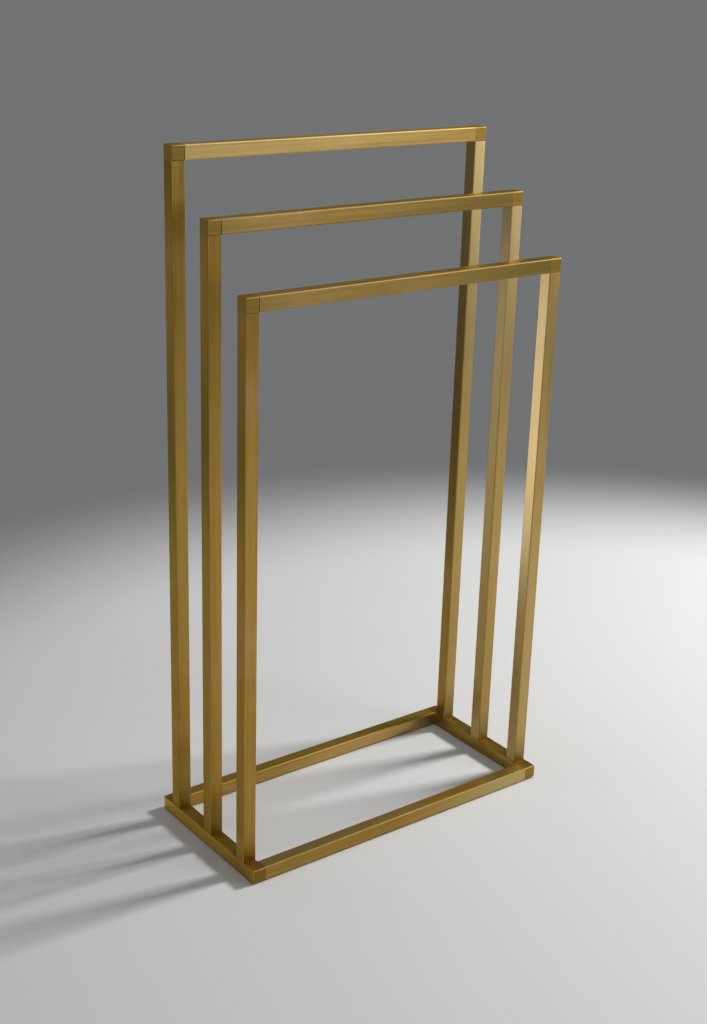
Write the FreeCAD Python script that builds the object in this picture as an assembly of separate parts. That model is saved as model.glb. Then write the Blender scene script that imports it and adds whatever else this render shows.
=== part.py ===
import FreeCAD, Part
import math
import os

# Freestanding towel stand: three U-shaped frames of square tube, each taller than
# the one before it, stand one behind another on a rectangular base of the same tube.
# Millimetres. +X right, +Y to the back, +Z up. The origin is on the floor, under the
# middle of the base. The lowest frame is at the front, towards -Y.

# ---- overall sizes ----------------------------------------------------------------
overall_width = 470.0       # over the outer faces of the posts and of the base
front_rail_height = 730.0   # floor to the top of the lowest rail
rail_step = 72.0            # how much taller each frame is than the one in front of it
rail_pitch = 77.5           # front to back, from one frame's centre to the next
post_gap = 4.5              # clear space between the front or back bar and the posts

# ---- tube -------------------------------------------------------------------------
tube_size = 18.0            # outside, across the flats
tube_wall = 1.0
tube_corner_radius = 1.5    # outside; the inside corners are square

# ---- corner castings and the plugs pressed into the tubes ---------------------------
slip_clearance = 0.15       # each side, where a channel spigot slides into a side bar
press_clearance = 0.05      # each side, where a barb is driven into a tube
spigot_chamfer = 0.8        # long edges of a channel spigot and of a spacer
barbed_length = 25.0        # spigots into rails, tops of posts, front and back bars
channel_length = 28.0       # spigots into side bars, past the screws of the outer posts
spacer_length = 28.0        # channel block in the middle of each side bar
channel_root = 4.0          # solid metal between the corner block and the channel
lead_in = 1.5               # chamfer at the tip of every spigot and plug
barb_pitch = 10.0
barb_land = 1.5             # flat crest of a barb
barb_length = 6.0           # crest and slope together
barb_depth = 1.1

# ---- screws -----------------------------------------------------------------------
thread_diameter = 6.0
thread_clearance = 0.05     # each side, between a thread and its tapped hole
shank_clearance = 0.3       # each side, where a shank passes a plain hole
head_clearance = 0.5        # each side, where a head passes a hole
thread_engagement = 15.0    # of a post screw in the plug of its post
plug_tail = 6.0             # plug beyond the end of that thread
screw_seat = 8.0            # under a post screw's head, above the underside of a bar
post_head_diameter = 10.0
post_head_height = 6.0
post_socket = 5.0           # across the flats
post_socket_depth = 3.2

# ---- foot pads ----------------------------------------------------------------------
pad_diameter = 13.0
pad_thickness = 1.0         # the base stands this far off the floor

# ---- worked out from the sizes above --------------------------------------------------
cut_margin = 1.0            # how far a cutting shape runs past the face that it opens
half_tube = tube_size / 2
inner_size = tube_size - 2 * tube_wall
half_width = overall_width / 2
half_depth = rail_pitch + half_tube + post_gap + tube_size
post_x = half_width - half_tube
bar_bottom = pad_thickness
bar_top = bar_bottom + tube_size
bar_middle = bar_bottom + half_tube
plug_length = thread_engagement + plug_tail
seat_height = bar_bottom + screw_seat

SIDES = (("left", -1), ("right", 1))
ENDS = (("front", -1), ("back", 1))
FRAMES = (
    ("front", -rail_pitch, front_rail_height),
    ("middle", 0.0, front_rail_height + rail_step),
    ("back", rail_pitch, front_rail_height + 2 * rail_step),
)

V = FreeCAD.Vector
UP = V(0, 0, 1)
DOWN = V(0, 0, -1)


# ---- shapes that several pieces share -------------------------------------------------
def placed(shape, start, direction):
    """Turn a shape that was drawn along +Z to a direction, and move it to its start."""
    turned = shape.copy()
    turned.Placement = FreeCAD.Placement(start, FreeCAD.Rotation(UP, direction))
    return turned


def rounded_square(side):
    """Closed outline in the XY plane, centred, with the tube's arc at each corner."""
    centre = side / 2 - tube_corner_radius
    edges = []
    ends = []
    for quarter in range(4):
        angle = quarter * math.pi / 2
        middle = angle + math.pi / 4
        corner = V(math.cos(middle), math.sin(middle), 0) * (centre * math.sqrt(2))
        arc = [
            corner + V(math.cos(a), math.sin(a), 0) * tube_corner_radius
            for a in (angle, middle, angle + math.pi / 2)
        ]
        edges.append(Part.Arc(*arc).toShape())
        ends.append((arc[0], arc[2]))
    for quarter in range(4):
        edges.append(Part.LineSegment(ends[quarter][1], ends[(quarter + 1) % 4][0]).toShape())
    return Part.Wire(Part.__sortEdges__(edges))


def rounded_bar(side, start, direction, length):
    """Solid bar whose long edges are rounded like the tube's."""
    face = Part.Face(rounded_square(side))
    return placed(face.extrude(UP * length), start, direction)


def square_tube(start, direction, length):
    """The stand's tube, open at both ends."""
    outside = rounded_bar(tube_size, start, direction, length)
    corner = V(-inner_size / 2, -inner_size / 2, 0)
    bore = Part.makeBox(inner_size, inner_size, length, corner)
    return outside.cut(placed(bore, start, direction))


def square_turned(profile):
    """Square-section bar along +Z whose half width follows (half width, height) points.

    The outline is extruded once along X and once along Y, and the two are intersected,
    so that every flare and groove runs round all four sides with mitred corners.
    """
    reach = max(half for half, _ in profile)
    outline = [V(half, 0, z) for half, z in profile]
    outline += [V(-half, 0, z) for half, z in reversed(profile)]
    outline.append(outline[0])
    slab = Part.Face(Part.makePolygon(outline)).extrude(V(0, 2 * reach, 0))
    slab.translate(V(0, -reach, 0))
    across = slab.copy()
    across.rotate(V(0, 0, 0), UP, 90)
    return slab.common(across)


def barbed_bar(length):
    """Bar that is driven into a tube: a full collar at the root, then a row of barbs."""
    crest = inner_size / 2 - press_clearance
    root = crest - barb_depth
    profile = []
    for barb in range(int(length / barb_pitch)):
        foot = barb * barb_pitch
        if barb:
            profile.append((root, foot))
        profile.append((crest, foot))
        profile.append((crest, foot + barb_land))
        profile.append((root, foot + barb_length))
    profile.append((root, length - lead_in))
    profile.append((root - lead_in, length))
    return square_turned(profile)


def sliding_bar(length):
    """Bar that slides into a tube, chamfered round its tip and along its edges."""
    half = inner_size / 2 - slip_clearance
    flat = half - spigot_chamfer
    section = []
    for quarter in range(4):
        turn = FreeCAD.Rotation(UP, 90 * quarter)
        section.append(turn.multVec(V(half, -flat, 0)))
        section.append(turn.multVec(V(half, flat, 0)))
    section.append(section[0])
    edged = Part.Face(Part.makePolygon(section)).extrude(UP * length)
    tipped = square_turned([(half, 0), (half, length - lead_in), (half - lead_in, length)])
    return tipped.common(edged)


def upright_cylinder(x, y, bottom, top, diameter):
    """Cylinder or hole along Z."""
    return Part.makeCylinder(diameter / 2, top - bottom, V(x, y, bottom))


def hexagon_prism(across_flats, height):
    """Hexagon along +Z, for a hex socket."""
    circumradius = across_flats / math.sqrt(3)
    corners = [
        V(circumradius * math.cos(k * math.pi / 3), circumradius * math.sin(k * math.pi / 3), 0)
        for k in range(7)
    ]
    return Part.Face(Part.makePolygon(corners)).extrude(UP * height)


def socket_screw(x, y, seat, head_size, thread_length, socket_size):
    """Screw that is driven upwards. The underside of its head bears on the seat."""
    head_diameter, head_height = head_size
    across_flats, socket_depth = socket_size
    head = upright_cylinder(x, y, seat - head_height, seat, head_diameter)
    thread = upright_cylinder(x, y, seat, seat + thread_length, thread_diameter)
    socket = hexagon_prism(across_flats, socket_depth)
    socket.translate(V(x, y, seat - head_height))
    return head.fuse(thread).removeSplitter().cut(socket)


def corner_block(centre, arm_a, arm_b):
    """Cube that carries the tube's section round a corner.

    A bar along each arm is intersected with the other, so the block runs flush into
    both tubes. A third, larger bar rounds only the outer edge, away from the arms.
    """
    along_a = rounded_bar(tube_size, centre - arm_a * half_tube, arm_a, tube_size)
    along_b = rounded_bar(tube_size, centre - arm_b * half_tube, arm_b, tube_size)
    third = arm_a.cross(arm_b)
    shifted = centre + (arm_a + arm_b - third) * half_tube
    larger = rounded_bar(2 * tube_size, shifted, third, tube_size)
    return along_a.common(along_b).common(larger)


# ---- pieces of the base ----------------------------------------------------------------
def shank_hole(side, y):
    """Plain hole for a post screw, through the top of a side bar and what lies under it."""
    diameter = thread_diameter + 2 * shank_clearance
    bottom = seat_height - cut_margin
    return upright_cylinder(side * post_x, y, bottom, bar_top + cut_margin, diameter)


def head_channel(side, first_y, second_y):
    """Space under a screw's seat, open below, that its head and the hex key pass along."""
    width = post_head_diameter + 2 * head_clearance
    low_y = min(first_y, second_y)
    corner = V(side * post_x - width / 2, low_y, 0)
    return Part.makeBox(width, abs(first_y - second_y), seat_height, corner)


def base_corner(side, end):
    """Cast corner of the base: a barbed spigot and a channel spigot, at a right angle."""
    to_middle = V(-side, 0, 0)
    to_other_end = V(0, -end, 0)
    centre = V(side * post_x, end * (half_depth - half_tube), bar_middle)
    barbed = placed(barbed_bar(barbed_length), centre + to_middle * half_tube, to_middle)
    sliding = sliding_bar(channel_length)
    sliding = placed(sliding, centre + to_other_end * half_tube, to_other_end)
    root_y = end * (half_depth - tube_size - channel_root)
    channel = head_channel(side, root_y, root_y - end * channel_length)
    sliding = sliding.cut(channel).cut(shank_hole(side, end * rail_pitch))
    casting = corner_block(centre, to_middle, to_other_end)
    return casting.fuse(barbed).fuse(sliding).removeSplitter()


def cross_bar(end):
    """Front or back bar, driven on to the barbed spigots of two corners."""
    y = end * (half_depth - half_tube)
    length = overall_width - 2 * tube_size
    return square_tube(V(-length / 2, y, bar_middle), V(1, 0, 0), length)


def side_bar(side):
    """Left or right bar, with a way through for the screw of each post on it."""
    length = 2 * (half_depth - tube_size)
    bar = square_tube(V(side * post_x, -length / 2, bar_middle), V(0, 1, 0), length)
    access = post_head_diameter + 2 * head_clearance
    for _, y, _ in FRAMES:
        bar = bar.cut(upright_cylinder(side * post_x, y, 0, seat_height, access))
        bar = bar.cut(shank_hole(side, y))
    return bar


def bar_spacer(side):
    """Channel block in the middle of a side bar, under the middle post."""
    start = V(side * post_x, -spacer_length / 2, bar_middle)
    block = placed(sliding_bar(spacer_length), start, V(0, 1, 0))
    channel = head_channel(side, -spacer_length, spacer_length)
    return block.cut(channel).cut(shank_hole(side, 0))


def foot_pads():
    """Rubber disc under each corner of the base."""
    y = half_depth - half_tube
    return [
        upright_cylinder(side * post_x, end * y, 0, pad_thickness, pad_diameter)
        for _, side in SIDES
        for _, end in ENDS
    ]


# ---- pieces of the three frames ----------------------------------------------------------
def rail(y, height):
    """Horizontal tube between two rail corners."""
    length = overall_width - 2 * tube_size
    return square_tube(V(-length / 2, y, height - half_tube), V(1, 0, 0), length)


def post(side, y, height):
    """Upright tube, from the top of a side bar to the underside of its rail corner."""
    return square_tube(V(side * post_x, y, bar_top), UP, height - tube_size - bar_top)


def rail_corner(side, y, height):
    """Cast corner at the top of a frame: barbed spigots into the rail and the post."""
    centre = V(side * post_x, y, height - half_tube)
    casting = corner_block(centre, V(-side, 0, 0), DOWN)
    spigot = barbed_bar(barbed_length)
    for arm in (V(-side, 0, 0), DOWN):
        casting = casting.fuse(placed(spigot, centre + arm * half_tube, arm))
    return casting.removeSplitter()


def post_plug(side, y):
    """Barbed plug in the foot of a post, tapped for the post's screw."""
    plug = placed(barbed_bar(plug_length), V(side * post_x, y, bar_top), UP)
    tapped = thread_diameter + 2 * thread_clearance
    bottom = bar_top - cut_margin
    top = bar_top + plug_length + cut_margin
    return plug.cut(upright_cylinder(side * post_x, y, bottom, top, tapped))


# ---- screws ----------------------------------------------------------------------------------
def post_screws():
    """One screw up through a side bar into each post."""
    length = bar_top - seat_height + thread_engagement
    head = (post_head_diameter, post_head_height)
    socket = (post_socket, post_socket_depth)
    return [
        socket_screw(side * post_x, y, seat_height, head, length, socket)
        for _, side in SIDES
        for _, y, _ in FRAMES
    ]


# ---- all nodes -----------------------------------------------------------------------------
nodes = {}
for end_name, end in ENDS:
    nodes[f"base_{end_name}_bar"] = cross_bar(end)
for side_name, side in SIDES:
    nodes[f"base_{side_name}_bar"] = side_bar(side)
    nodes[f"{side_name}_bar_spacer"] = bar_spacer(side)
    for end_name, end in ENDS:
        nodes[f"base_{end_name}_{side_name}_corner"] = base_corner(side, end)
for frame_name, frame_y, frame_height in FRAMES:
    nodes[f"{frame_name}_rail"] = rail(frame_y, frame_height)
    for side_name, side in SIDES:
        label = f"{frame_name}_{side_name}"
        nodes[f"{label}_post"] = post(side, frame_y, frame_height)
        nodes[f"{label}_rail_corner"] = rail_corner(side, frame_y, frame_height)
        nodes[f"{label}_post_plug"] = post_plug(side, frame_y)
nodes["post_screws"] = Part.makeCompound(post_screws())
nodes["foot_pads"] = Part.makeCompound(foot_pads())

os.makedirs("parts", exist_ok=True)
for name, shape in nodes.items():
    if not shape.isValid():
        raise ValueError(f"{name} is not a valid shape")
    shape.exportStep(f"parts/{name}.step")
    print(f"{name}: {len(shape.Solids)} solid(s), {shape.Volume / 1000:.2f} cm3")
print(f"{len(nodes)} nodes, base depth {2 * half_depth:.1f} mm")
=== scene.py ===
import math

import bpy
from mathutils import Matrix, Vector

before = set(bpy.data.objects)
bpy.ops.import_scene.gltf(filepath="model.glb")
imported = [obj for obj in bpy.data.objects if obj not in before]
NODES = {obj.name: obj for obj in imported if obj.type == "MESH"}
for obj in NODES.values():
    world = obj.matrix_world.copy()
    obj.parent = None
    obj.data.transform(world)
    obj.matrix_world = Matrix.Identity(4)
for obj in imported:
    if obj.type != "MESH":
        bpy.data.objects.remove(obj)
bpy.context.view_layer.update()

# Looks of a freestanding towel stand: three stepped frames of square tube on a base of
# the same tube, in satin gold. Metres, in the part's own frame: +X right, +Y to the
# back, +Z up, with the origin on the floor under the middle of the base.

X_AXIS = Vector((1, 0, 0))
Y_AXIS = Vector((0, 1, 0))
Z_AXIS = Vector((0, 0, 1))


def middle_of(node):
    """Middle of a node's own box."""
    corners = [Vector(corner) for corner in NODES[node].bound_box]
    return sum(corners, Vector()) / len(corners)


POST_PITCH = (middle_of("back_left_post") - middle_of("middle_left_post")).y    # along a side bar


# ---- camera -------------------------------------------------------------------------------
PICTURE_HEIGHT = 1024                   # pixels, the long side of the picture
SENSOR = 36.0                           # mm along the picture's long side
FOCAL_PIXELS = 1542.8
CAMERA_PLACE = Vector((-1.1299, -1.4659, 1.0953))
CAMERA_AZIMUTH = math.radians(-37.264)
CAMERA_ELEVATION = math.radians(20.33)
CAMERA_ROLL = math.radians(1.725)


def make_camera():
    """Camera at the photograph's place, aim and roll."""
    level = math.cos(CAMERA_ELEVATION)
    back = Vector((
        math.sin(CAMERA_AZIMUTH) * level,
        -math.cos(CAMERA_AZIMUTH) * level,
        math.sin(CAMERA_ELEVATION),
    ))
    right = Z_AXIS.cross(back).normalized()
    up = back.cross(right)
    rolled_right = right * math.cos(CAMERA_ROLL) + up * math.sin(CAMERA_ROLL)
    rolled_up = back.cross(rolled_right)
    data = bpy.data.cameras.new("camera")
    data.sensor_width = SENSOR
    data.lens = FOCAL_PIXELS * SENSOR / PICTURE_HEIGHT
    camera = bpy.data.objects.new("camera", data)
    turn = Matrix((rolled_right, rolled_up, back)).transposed()
    camera.matrix_world = Matrix.Translation(CAMERA_PLACE) @ turn.to_4x4()
    bpy.context.scene.collection.objects.link(camera)
    bpy.context.scene.camera = camera


# ---- shader helpers -----------------------------------------------------------------------
MIX_SHARE, MIX_FIRST, MIX_SECOND = 0, 6, 7      # a mix node's inputs for a share and two colours
MIX_RESULT = 2                                  # and its output for a colour


def new_material(name):
    """Empty node material, with its output node."""
    material = bpy.data.materials.new(name)
    material.use_nodes = True
    material.node_tree.nodes.clear()
    output = material.node_tree.nodes.new("ShaderNodeOutputMaterial")
    return material, material.node_tree, output


def add(tree, kind, inputs=(), **settings):
    """New node. An input that is a socket is linked, and any other value is set."""
    made = tree.nodes.new(kind)
    for name, value in settings.items():
        setattr(made, name, value)
    for key, value in dict(inputs).items():
        if isinstance(value, bpy.types.NodeSocket):
            tree.links.new(value, made.inputs[key])
        else:
            made.inputs[key].default_value = value
    return made


def noise(tree, coordinates, stretch, detail, roughness):
    """Noise whose features per metre are given along each axis."""
    mapped = add(tree, "ShaderNodeMapping", {"Vector": coordinates, "Scale": stretch})
    made = add(tree, "ShaderNodeTexNoise", {
        "Vector": mapped.outputs["Vector"], "Scale": 1.0, "Detail": detail, "Roughness": roughness,
    })
    return made.outputs["Fac"]


def spread(tree, value, low, high, to_low=0.0, to_high=1.0):
    """A value from one range to another, held inside it."""
    made = add(tree, "ShaderNodeMapRange", {
        "Value": value, "From Min": low, "From Max": high, "To Min": to_low, "To Max": to_high,
    })
    return made.outputs["Result"]


def mix(tree, share, first, second):
    """Two colours mixed by a share."""
    made = add(tree, "ShaderNodeMix", {
        MIX_SHARE: share, MIX_FIRST: first, MIX_SECOND: second,
    }, data_type="RGBA")
    return made.outputs[MIX_RESULT]


def maths(tree, operation, first, second):
    """One arithmetic step on two values."""
    made = add(tree, "ShaderNodeMath", {0: first, 1: second}, operation=operation)
    return made.outputs["Value"]


def along(axis, grain, across):
    """Noise features per metre: few along the grain, many across it."""
    return tuple(grain if axis[i] else across for i in range(3))


def darker(colour, shade):
    """The same colour, darker by a factor."""
    return tuple(shade * part for part in colour[:3]) + (1,)


# ---- satin gold ---------------------------------------------------------------------------
GOLD_DARK = (0.350, 0.190, 0.018, 1)    # the long streaks run between this and the next one; darkened, it is also painted shade on a base corner's front
GOLD_MAIN = (0.430, 0.270, 0.050, 1)
GOLD_OLIVE = (0.330, 0.240, 0.062, 1)   # the coat drifts between this and the next one
GOLD_WARM = (0.500, 0.290, 0.110, 1)
GOLD_PALE = (0.760, 0.600, 0.290, 1)    # rubbed edges, the crests of the grain, paler stretches of the coat, and painted light and sheen on single faces
GOLD_TINT = (0.950, 0.760, 0.350, 1)    # at a glancing angle
GOLD_RICH_TONE_AND_PAINTED_LIGHT = (0.660, 0.450, 0.075, 1)    # a richer tone all over the right rail castings, and painted light on single faces elsewhere
GOLD_PAINTED_LIGHT = (0.900, 0.575, 0.115, 1)  # painted light on single faces low on the base
GOLD_PAINTED_SHADE = (0.110, 0.085, 0.022, 1)    # painted shade: at the joints and the feet of the posts, and on single faces and edges

FINE_GRAIN = (25, 2400)                 # noise features per metre, along the grain and across it
STREAKS = (4, 260)
DRIFTS = (9, 9, 9)                      # noise features per metre along X, Y and Z
RUBBED_SPOTS = (30, 30, 30)
GRAIN_HEIGHT = 0.00002
DRIFT_AMOUNT = 0.6                      # most of the olive or warm gold that a drift brings
CREST_AMOUNT = 0.12                     # most of the pale gold on a crest of the grain
RUBBED_AMOUNT = 0.12                    # and on a rubbed edge
EDGE_TURN = (0.99, 0.92)                # largest part of the normal on a flat and on a rounded edge
FACE_TURN = (0.6, 0.9)                  # part of the normal where a face begins and where it is full
POST_SHADE = (0.012, 0.028)             # from a post's middle, where its painted shade starts to fade and ends


def edge_share(tree, normal):
    """1 on the rounded edges of a tube and 0 on its flats."""
    facing = add(tree, "ShaderNodeVectorMath", {0: normal}, operation="ABSOLUTE")
    parts = add(tree, "ShaderNodeSeparateXYZ", {"Vector": facing.outputs["Vector"]})
    largest = maths(tree, "MAXIMUM", parts.outputs["X"], parts.outputs["Y"])
    largest = maths(tree, "MAXIMUM", largest, parts.outputs["Z"])
    return spread(tree, largest, *EDGE_TURN)


# the masks through which light and shade are painted on single faces and edges
def face_shares(tree, normal):
    """1 on the faces that look to the front, left, right and top, or on the edges, and 0 elsewhere."""
    sides = add(tree, "ShaderNodeSeparateXYZ", {"Vector": normal})
    begins, full = FACE_TURN
    return {
        "front": spread(tree, sides.outputs["Y"], -begins, -full),
        "left": spread(tree, sides.outputs["X"], -begins, -full),
        "right": spread(tree, sides.outputs["X"], begins, full),
        "top": spread(tree, sides.outputs["Z"], begins, full),
        "edge": edge_share(tree, normal),
    }


def brushed_tone(tree, grain, streak, drift, shade):
    """The coat's own colour: long streaks, slow drifts, and pale crests on the grain."""
    tone = mix(tree, spread(tree, streak, 0.3, 0.7), darker(GOLD_DARK, shade), darker(GOLD_MAIN, shade))
    tone = mix(tree, spread(tree, drift, 0.48, 0.32, 0.0, DRIFT_AMOUNT), tone, darker(GOLD_OLIVE, shade))
    tone = mix(tree, spread(tree, drift, 0.52, 0.70, 0.0, DRIFT_AMOUNT), tone, darker(GOLD_WARM, shade))
    return mix(tree, spread(tree, grain, 0.35, 0.75, 0.0, CREST_AMOUNT), tone, GOLD_PALE)


def even(face, colour, amount):
    """A touch that is the same along the whole piece."""
    return (face, colour, 0.0, 1.0, amount, amount)


def lay_touches(tree, tone, touches, share, faces):
    """A tone with touches over it, by the share of the way along the piece.

    Each touch is a face, "edge" or "all", a colour, two places along the piece from its left,
    front or lower end (0) to the other (1), and how much of the colour lies at each of the two.
    Most touches on single faces and edges are painted light and painted shade.
    """
    for face, colour, low, high, at_low, at_high in touches:
        amount = spread(tree, share, low, high, at_low, at_high)
        if face in faces:
            amount = maths(tree, "MULTIPLY", faces[face], amount)
        tone = mix(tree, amount, tone, colour)
    return tone


def paint_shade_beside_posts(tree, tone, place, top, amount):
    """Painted shade on the top face of a side bar or corner, where the posts stand on it."""
    parts = add(tree, "ShaderNodeSeparateXYZ", {"Vector": place})
    reach = maths(tree, "PINGPONG", parts.outputs["Y"], POST_PITCH / 2)
    beside = maths(tree, "MULTIPLY", top, spread(tree, reach, *POST_SHADE, amount, 0.0))
    return mix(tree, beside, tone, GOLD_PAINTED_SHADE)


def satin_gold(
    name, grain_axis, rough, anisotropy, shade=1.0, touches=(), shade_beside_posts=0.0, edge_rough=0.16,
):
    """Brushed gold coat: fine grain, long soft streaks, slow drifts of tone, pale edges.

    The shade darkens the whole coat, and the touches recolour parts of it: with the coat's own
    tones, and with painted light and painted shade on single faces and edges. shade_beside_posts
    is how much painted shade lies on the top face where the posts stand on it, and edge_rough is
    how much rougher the rounded edges are.
    """
    material, tree, output = new_material(name)
    coordinates = add(tree, "ShaderNodeTexCoord")
    place = coordinates.outputs["Object"]
    grain = noise(tree, place, along(grain_axis, *FINE_GRAIN), detail=2.0, roughness=0.6)
    streak = noise(tree, place, along(grain_axis, *STREAKS), detail=3.0, roughness=0.55)
    drift = noise(tree, place, DRIFTS, detail=5.0, roughness=0.62)
    spots = noise(tree, place, RUBBED_SPOTS, detail=3.0, roughness=0.6)
    faces = face_shares(tree, coordinates.outputs["Normal"])
    share = add(tree, "ShaderNodeVectorMath", {
        0: coordinates.outputs["Generated"], 1: grain_axis,
    }, operation="DOT_PRODUCT").outputs["Value"]
    tone = brushed_tone(tree, grain, streak, drift, shade)
    tone = lay_touches(tree, tone, touches, share, faces)
    rubbed = maths(tree, "MULTIPLY", faces["edge"], spread(tree, spots, 0.35, 0.6, 0.3, 1.0))
    tone = mix(tree, maths(tree, "MULTIPLY", rubbed, RUBBED_AMOUNT), tone, GOLD_PALE)
    if shade_beside_posts:
        tone = paint_shade_beside_posts(tree, tone, place, faces["top"], shade_beside_posts)
    roughness = spread(tree, streak, 0.25, 0.75, rough - 0.04, rough + 0.05)
    roughness = maths(tree, "ADD", roughness, maths(tree, "MULTIPLY", faces["edge"], edge_rough))
    relief = add(tree, "ShaderNodeBump", {"Strength": 0.35, "Distance": GRAIN_HEIGHT, "Height": grain})
    normal = add(tree, "ShaderNodeNewGeometry").outputs["Normal"]
    across = add(tree, "ShaderNodeVectorMath", {0: normal, 1: grain_axis}, operation="CROSS_PRODUCT")
    shader = add(tree, "ShaderNodeBsdfPrincipled", {
        "Base Color": tone, "Metallic": 1.0, "Roughness": roughness, "Anisotropic": anisotropy,
        "Tangent": across.outputs["Vector"], "Normal": relief.outputs["Normal"],
        "Specular Tint": GOLD_TINT, "Coat Weight": 0.15, "Coat Roughness": 0.3,
    })
    tree.links.new(shader.outputs["BSDF"], output.inputs["Surface"])
    return material


# ---- zinc and rubber ----------------------------------------------------------------------
ZINC_SCREW = (0.42, 0.43, 0.45, 1)
ZINC_INSERT = (0.55, 0.55, 0.53, 1)
ZINC_MOTTLE = (900, 900, 900)           # noise features per metre
RUBBER_BLACK = (0.015, 0.015, 0.015, 1)
RUBBER_DUST = (0.09, 0.085, 0.08, 1)
RUBBER_PEBBLES = (1500, 1500, 1500)
RUBBER_DUST_SPOTS = (180, 180, 180)


def zinc_plate(name, colour, rough):
    """Plain plated steel: cool, with a faint crystalline mottle."""
    material, tree, output = new_material(name)
    place = add(tree, "ShaderNodeTexCoord").outputs["Object"]
    mottle = noise(tree, place, ZINC_MOTTLE, detail=3.0, roughness=0.6)
    tone = mix(tree, spread(tree, mottle, 0.3, 0.7), darker(colour, 0.7), colour)
    roughness = spread(tree, mottle, 0.3, 0.7, rough - 0.05, rough + 0.08)
    relief = add(tree, "ShaderNodeBump", {"Strength": 0.2, "Distance": 0.00004, "Height": mottle})
    shader = add(tree, "ShaderNodeBsdfPrincipled", {
        "Base Color": tone, "Metallic": 1.0, "Roughness": roughness, "Normal": relief.outputs["Normal"],
    })
    tree.links.new(shader.outputs["BSDF"], output.inputs["Surface"])
    return material


def pad_rubber(name):
    """Matt black rubber with a fine pebbled face and a little dust."""
    material, tree, output = new_material(name)
    place = add(tree, "ShaderNodeTexCoord").outputs["Object"]
    pebble = noise(tree, place, RUBBER_PEBBLES, detail=2.0, roughness=0.5)
    dust = noise(tree, place, RUBBER_DUST_SPOTS, detail=3.0, roughness=0.6)
    tone = mix(tree, spread(tree, dust, 0.5, 0.75, 0.0, 0.5), RUBBER_BLACK, RUBBER_DUST)
    roughness = spread(tree, pebble, 0.3, 0.7, 0.7, 0.9)
    relief = add(tree, "ShaderNodeBump", {"Strength": 0.5, "Distance": 0.0001, "Height": pebble})
    shader = add(tree, "ShaderNodeBsdfPrincipled", {
        "Base Color": tone, "Roughness": roughness, "Normal": relief.outputs["Normal"],
    })
    tree.links.new(shader.outputs["BSDF"], output.inputs["Surface"])
    return material


# ---- the finish of each kind of piece -----------------------------------------------------
POST = dict(grain_axis=Z_AXIS, rough=0.36, anisotropy=0.35)
LONG_TUBE = dict(grain_axis=X_AXIS, rough=0.36, anisotropy=0.35)    # back rail, long bars of the base
LOWER_RAIL = dict(grain_axis=X_AXIS, rough=0.38, anisotropy=0.3, shade=0.78, edge_rough=0.3)
SIDE_BAR = dict(grain_axis=Y_AXIS, rough=0.38, anisotropy=0.3, shade=0.9, shade_beside_posts=0.6)
CASTING = dict(grain_axis=X_AXIS, rough=0.42, anisotropy=0.0, shade=0.76)
RIGHT_POST_COAT = 0.82                  # the right posts' coat is darker, under a paler tone and painted light


def post_finishes():
    """Posts, with painted shade on the front at the foot. The right ones are paler in parts, partly in
    their coat and partly with painted light and sheen.
    """
    painted_foot_shade = ("front", GOLD_PAINTED_SHADE, 0.0, 0.06, 0.75, 0.0)
    left_post = satin_gold("post_tube", **POST, touches=[painted_foot_shade])
    return {
        "front_left_post": left_post,
        "middle_left_post": left_post,
        "back_left_post": left_post,
        "front_right_post": satin_gold("front_right_post_tube", **POST, shade=RIGHT_POST_COAT, touches=[
            even("all", GOLD_PALE, 0.18),
            # painted shade low on the left face, and painted light low on the front
            ("left", GOLD_PAINTED_SHADE, 0.3, 0.5, 0.14, 0.0),
            ("front", GOLD_PALE, 0.1, 0.6, 0.18, 0.0),
            painted_foot_shade,
        ]),
        "middle_right_post": satin_gold("middle_right_post_tube", **POST, shade=RIGHT_POST_COAT, touches=[
            # a paler coat, growing paler towards the top with painted sheen
            ("all", GOLD_PALE, 0.5, 0.95, 0.18, 0.45),
            painted_foot_shade,
        ]),
        "back_right_post": satin_gold("back_right_post_tube", **POST, shade=RIGHT_POST_COAT, touches=[
            # painted sheen towards the top, stronger on the front
            ("all", GOLD_PALE, 0.5, 0.95, 0.0, 0.3),
            ("front", GOLD_PALE, 0.5, 0.95, 0.18, 0.28),
            painted_foot_shade,
        ]),
    }


def rail_finishes():
    """Rails. The two lower ones turn olive towards the right, and have painted shade on the front at
    their left ends and on their edges.
    """
    lower_rail = satin_gold("rail_tube", **LOWER_RAIL, touches=[
        ("all", GOLD_PALE, 0.0, 0.5, 0.2, 0.1),
        ("all", darker(GOLD_OLIVE, 0.72), 0.55, 0.9, 0.0, 0.75),
        # painted shade beside the left castings, and on the edges to damp their glint
        ("front", GOLD_PAINTED_SHADE, 0.0, 0.1, 0.25, 0.0),
        even("edge", GOLD_PAINTED_SHADE, 0.25),
    ])
    return {
        "front_rail": lower_rail,
        "middle_rail": lower_rail,
        "back_rail": satin_gold("back_rail_tube", **LONG_TUBE, edge_rough=0.25, touches=[
            ("all", GOLD_PALE, 0.5, 0.95, 0.36, 0.20),
        ]),
    }


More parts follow.
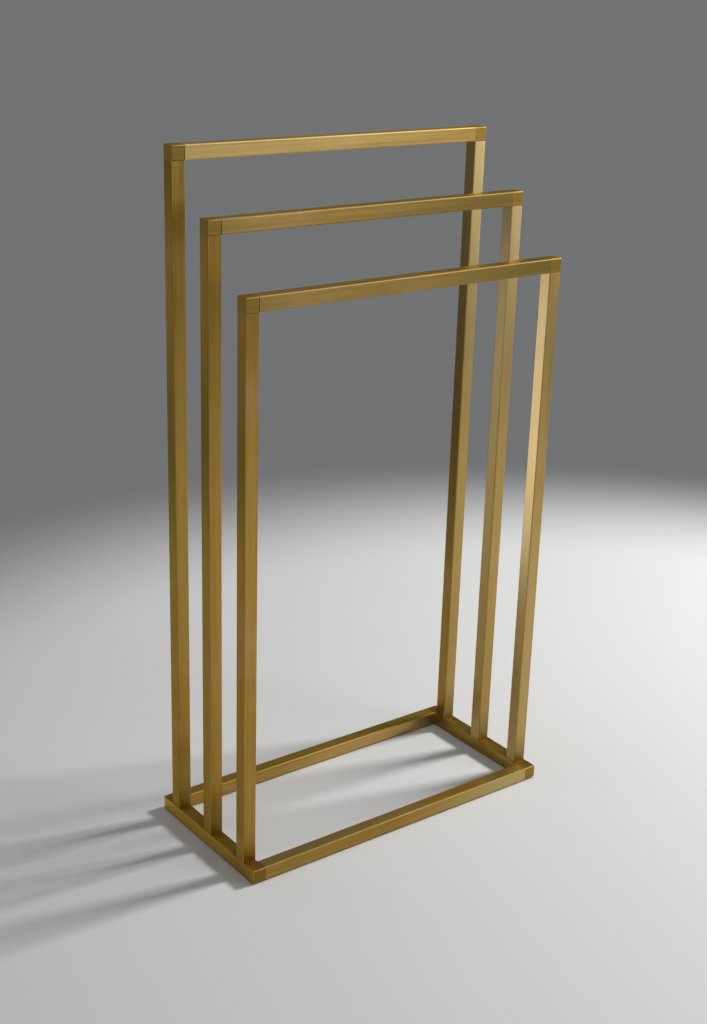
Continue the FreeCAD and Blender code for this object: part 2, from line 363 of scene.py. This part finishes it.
def base_bar_finishes():
    """Bars of the base, with painted light and painted shade on single faces and edges. The side ones
    have painted shade where the posts stand on them.
    """
    return {
        "base_front_bar": satin_gold("front_bar_tube", **LONG_TUBE, shade=0.9, edge_rough=0.35, touches=[
            # besides the olive drift, these are painted: light on the top at the left and on the front at
            # the right, shade on the top at the right and on the edges
            ("top", GOLD_PALE, 0.5, 0.68, 0.2, 0.0),
            ("all", darker(GOLD_OLIVE, 0.9), 0.6, 0.95, 0.0, 0.8),
            ("top", GOLD_PAINTED_SHADE, 0.65, 0.8, 0.0, 0.25),
            ("front", GOLD_PALE, 0.5, 0.95, 0.0, 0.42),
            ("edge", GOLD_PAINTED_SHADE, 0.5, 0.95, 0.35, 0.4),
        ]),
        "base_back_bar": satin_gold("back_bar_tube", **LONG_TUBE, edge_rough=0.3, touches=[
            # painted light on the front and top, painted shade on the edges
            ("front", GOLD_PALE, 0.1, 0.9, 0.0, 0.26),
            even("top", GOLD_RICH_TONE_AND_PAINTED_LIGHT, 0.3),
            even("edge", GOLD_PAINTED_SHADE, 0.25),
        ]),
        "base_left_bar": satin_gold("left_bar_tube", **SIDE_BAR, touches=[
            # painted light on the outer face
            ("left", GOLD_PAINTED_LIGHT, 0.1, 0.4, 0.35, 0.7),
        ]),
        "base_right_bar": satin_gold("right_bar_tube", **SIDE_BAR, touches=[
            # painted light on the top and inner face
            even("top", GOLD_RICH_TONE_AND_PAINTED_LIGHT, 0.3),
            even("left", GOLD_RICH_TONE_AND_PAINTED_LIGHT, 0.2),
        ]),
    }


def rail_corner_finishes():
    """Castings at the ends of the rails, a little darker than the tubes, with painted light and painted
    shade on single faces. The right ones are a richer tone all over.
    """
    left_corner = satin_gold("left_corner_casting", **CASTING, touches=[
        # painted shade on the front, painted light on the left face
        even("front", GOLD_PAINTED_SHADE, 0.2),
        even("left", GOLD_RICH_TONE_AND_PAINTED_LIGHT, 0.2),
    ])
    right_corner = satin_gold("corner_casting", **CASTING, touches=[
        even("all", GOLD_RICH_TONE_AND_PAINTED_LIGHT, 0.2),
        # painted shade on the right face
        even("right", GOLD_PAINTED_SHADE, 0.5),
    ])
    return {
        "front_left_rail_corner": left_corner,
        "middle_left_rail_corner": left_corner,
        "back_left_rail_corner": satin_gold("back_left_corner_casting", **CASTING, touches=[
            # painted shade on the front, painted light on the left face
            even("front", GOLD_PAINTED_SHADE, 0.45),
            even("left", GOLD_RICH_TONE_AND_PAINTED_LIGHT, 0.4),
        ]),
        "front_right_rail_corner": right_corner,
        "middle_right_rail_corner": right_corner,
        "back_right_rail_corner": right_corner,
    }


def base_corner_finishes():
    """Castings at the corners of the base, with painted shade beside the posts, and painted light and
    painted shade on single faces.
    """
    return {
        "base_front_left_corner": satin_gold(
            "front_left_base_casting", **CASTING, shade_beside_posts=0.6,
            # painted shade on the front, painted light on the left face
            touches=[even("front", darker(GOLD_DARK, 0.55), 0.7), even("left", GOLD_RICH_TONE_AND_PAINTED_LIGHT, 0.8)],
        ),
        "base_back_left_corner": satin_gold(
            "back_left_base_casting", **CASTING, shade_beside_posts=0.6,
            # painted light on the left face
            touches=[even("left", GOLD_PAINTED_LIGHT, 0.7)],
        ),
        "base_back_right_corner": satin_gold(
            "back_right_base_casting", **CASTING, shade_beside_posts=0.6,
            # painted light on the front face
            touches=[even("front", GOLD_PAINTED_LIGHT, 0.9)],
        ),
        "base_front_right_corner": satin_gold(
            "front_right_base_casting", **CASTING, shade_beside_posts=0.75,
        ),
    }


def fixing_finishes():
    """Screws, foot pads, and the plugs and spacers inside the tubes."""
    inserts = [node for node in NODES if node.endswith(("_plug", "_spacer"))]
    return {
        "post_screws": zinc_plate("screw_plate", ZINC_SCREW, 0.3),
        "foot_pads": pad_rubber("pad_rubber"),
        **dict.fromkeys(inserts, zinc_plate("insert_plate", ZINC_INSERT, 0.45)),
    }


# ---- dressing the CAD nodes ---------------------------------------------------------------
WELD_REACH = 0.00001                    # points as close as this become one
SEAM_BEVEL = 0.0001                     # broken edge at the end of every tube and casting
SEAM_SEGMENTS = 2
SHARP_ANGLE = math.radians(50)          # an edge that turns more than this is broken
FLAT_WEIGHT = 90                        # how strongly the large flats set the shading


def finish_node(piece, material):
    """The material for a CAD node, and its sharp edges broken so that the joints show."""
    for slot in piece.material_slots:
        slot.link = "OBJECT"
        slot.material = material
    weld = piece.modifiers.new("weld", "WELD")
    weld.merge_threshold = WELD_REACH
    bevel = piece.modifiers.new("broken_edges", "BEVEL")
    bevel.width = SEAM_BEVEL
    bevel.segments = SEAM_SEGMENTS
    bevel.limit_method = "ANGLE"
    bevel.angle_limit = SHARP_ANGLE
    shading = piece.modifiers.new("shading", "WEIGHTED_NORMAL")
    shading.weight = FLAT_WEIGHT


def dress_nodes():
    """A finish for every node."""
    finishes = {
        **post_finishes(),
        **rail_finishes(),
        **base_bar_finishes(),
        **rail_corner_finishes(),
        **base_corner_finishes(),
        **fixing_finishes(),
    }
    for node, piece in NODES.items():
        finish_node(piece, finishes[node])


# ---- floor and world ----------------------------------------------------------------------
FLOOR_HALF = 12.0
FLOOR_PALE = (0.585, 0.585, 0.58, 1)
FLOOR_CLOUDED = (0.45, 0.45, 0.46, 1)   # drifts faintly through the pale
FLOOR_CLOUDS = (2.5, 2.5, 2.5)          # noise features per metre
SURROUND = (0.166, 0.170, 0.173, 1)     # light that comes from all round the pale floor, and the glow of the floor beyond it
# a painted pool of light on the floor, centred in front of the stand and to its right
PAINTED_POOL_CENTRE = (0.22, -0.6, 0)
PAINTED_POOL_REACH = (1.16, 1.27, 1)            # how far the pool reaches from that centre, along X and Y
PAINTED_POOL_FADE = 1.48                        # this many times as far, the floor has faded into a grey glow like its surroundings


def make_floor():
    """Pale floor: a painted pool of light about the stand, fading into a glow of the surroundings' grey.
    """
    mesh = bpy.data.meshes.new("floor")
    corners = [(FLOOR_HALF * x, FLOOR_HALF * y, 0) for x, y in ((-1, -1), (1, -1), (1, 1), (-1, 1))]
    mesh.from_pydata(corners, [], [(0, 1, 2, 3)])
    floor = bpy.data.objects.new("floor", mesh)
    bpy.context.scene.collection.objects.link(floor)
    material, tree, output = new_material("pale_floor")
    place = add(tree, "ShaderNodeTexCoord").outputs["Object"]
    outward = add(tree, "ShaderNodeMapping", {
        "Vector": place, "Location": PAINTED_POOL_CENTRE, "Scale": PAINTED_POOL_REACH,
    }, vector_type="TEXTURE")
    distance = add(tree, "ShaderNodeVectorMath", {0: outward.outputs["Vector"]}, operation="LENGTH")
    far = add(tree, "ShaderNodeMapRange", {
        "Value": distance.outputs["Value"], "From Min": 1.0, "From Max": PAINTED_POOL_FADE,
    }, interpolation_type="SMOOTHSTEP").outputs["Result"]
    cloud = noise(tree, place, FLOOR_CLOUDS, detail=4.0, roughness=0.6)
    tone = mix(tree, spread(tree, cloud, 0.3, 0.7, 0.0, 0.06), FLOOR_PALE, FLOOR_CLOUDED)
    roughness = spread(tree, cloud, 0.3, 0.7, 0.55, 0.65)
    shader = add(tree, "ShaderNodeBsdfPrincipled", {
        "Base Color": tone, "Roughness": roughness, "Specular IOR Level": 0.2,
    })
    # beyond the pool, the floor glows with the surroundings' grey
    glow = add(tree, "ShaderNodeEmission", {"Color": SURROUND, "Strength": 1.0})
    blend = add(tree, "ShaderNodeMixShader", {
        0: far, 1: shader.outputs["BSDF"], 2: glow.outputs["Emission"],
    })
    tree.links.new(blend.outputs["Shader"], output.inputs["Surface"])
    mesh.materials.append(material)


def make_world():
    """Even grey surroundings."""
    world = bpy.data.worlds.new("studio")
    bpy.context.scene.world = world
    world.use_nodes = True
    background = world.node_tree.nodes["Background"]
    background.inputs["Color"].default_value = SURROUND
    background.inputs["Strength"].default_value = 1.0


# ---- lights -------------------------------------------------------------------------------
WHITE = (1.0, 1.0, 1.0)
WARM_WHITE = (1.0, 0.97, 0.93)
COOL_WHITE = (0.82, 0.88, 1.0)
COOLER_WHITE = (0.8, 0.85, 1.0)
BLUE_WHITE = (0.62, 0.68, 1.0)


def soft_light(name, place, aim, size, watts, colour=WHITE, only=()):
    """Rectangular softbox that faces a point, and that may light some nodes only."""
    data = bpy.data.lights.new(name, "AREA")
    data.shape = "RECTANGLE"
    data.size, data.size_y = size
    data.energy = watts
    data.color = colour
    light = bpy.data.objects.new(name, data)
    light.location = place
    light.rotation_mode = "QUATERNION"
    light.rotation_quaternion = (Vector(aim) - Vector(place)).to_track_quat("-Z", "Y")
    light.visible_camera = False
    if only:
        lit = bpy.data.collections.new(f"lit_by_{name}")
        for node in only:
            lit.objects.link(NODES[node])
        light.light_linking.receiver_collection = lit
    bpy.context.scene.collection.objects.link(light)


def make_studio_lights():
    """Key from the right, a card at the front right and a light overhead."""
    soft_light("key", place=(2.3, -0.4, 1.9), aim=(0, 0, 0.3), size=(0.5, 0.5), watts=92)
    soft_light(
        "front_card", place=(1.9, -2.6, 1.6), aim=(0.6, -0.8, 0), size=(1.5, 1.0), watts=26,
        colour=WARM_WHITE,
    )
    soft_light("top", place=(-0.4, 0.3, 2.6), aim=(0, 0, 0.4), size=(1.6, 1.6), watts=12)


def make_weak_cards():
    """Weak cards that lift single faces of the stand and leave the floor as it is."""
    left_nodes = [node for node in NODES if "left" in node]
    right_posts = ["front_right_post", "middle_right_post", "back_right_post"]
    soft_light(
        "right_strip", place=(2.34, -1.3, 0.5), aim=(0.22, 0, 0.8), size=(0.5, 0.5), watts=7.0,
        colour=COOL_WHITE, only=right_posts,
    )
    soft_light(
        "inner_strip", place=(-0.47, 0.5, 0.31), aim=(0.2, -POST_PITCH, 0.5), size=(0.3, 0.6), watts=2.85,
        colour=BLUE_WHITE, only=["front_right_post"],
    )
    soft_light(
        "middle_inner_strip", place=(-0.47, 0.6, 0.27), aim=(0.2, 0, 0.5), size=(0.3, 0.6), watts=0.7,
        colour=COOLER_WHITE, only=["middle_right_post"],
    )
    soft_light(
        "left_card", place=(-1.5, 2.0, 0.2), aim=(-0.23, 0, 0.4), size=(1.0, 0.38), watts=0.5,
        only=left_nodes,
    )
    soft_light(
        "low_left_card", place=(-0.72, 0.75, 0.04), aim=(-0.7, 0.73, 1), size=(0.7, 0.5), watts=0.3,
        only=left_nodes,
    )
    soft_light(
        "front_fill", place=(-0.3, -2.8, 0.7), aim=(0, 0, 0.45), size=(0.9, 0.6), watts=4.3,
        only=NODES,
    )
    soft_light(
        "side_fill", place=(-1.6, -1.6, 0.25), aim=(0, 0, 0.45), size=(0.8, 0.4), watts=1.5,
        only=NODES,
    )


make_camera()
dress_nodes()
make_floor()
make_world()
make_studio_lights()
make_weak_cards()
bpy.context.scene.view_settings.view_transform = "Standard"
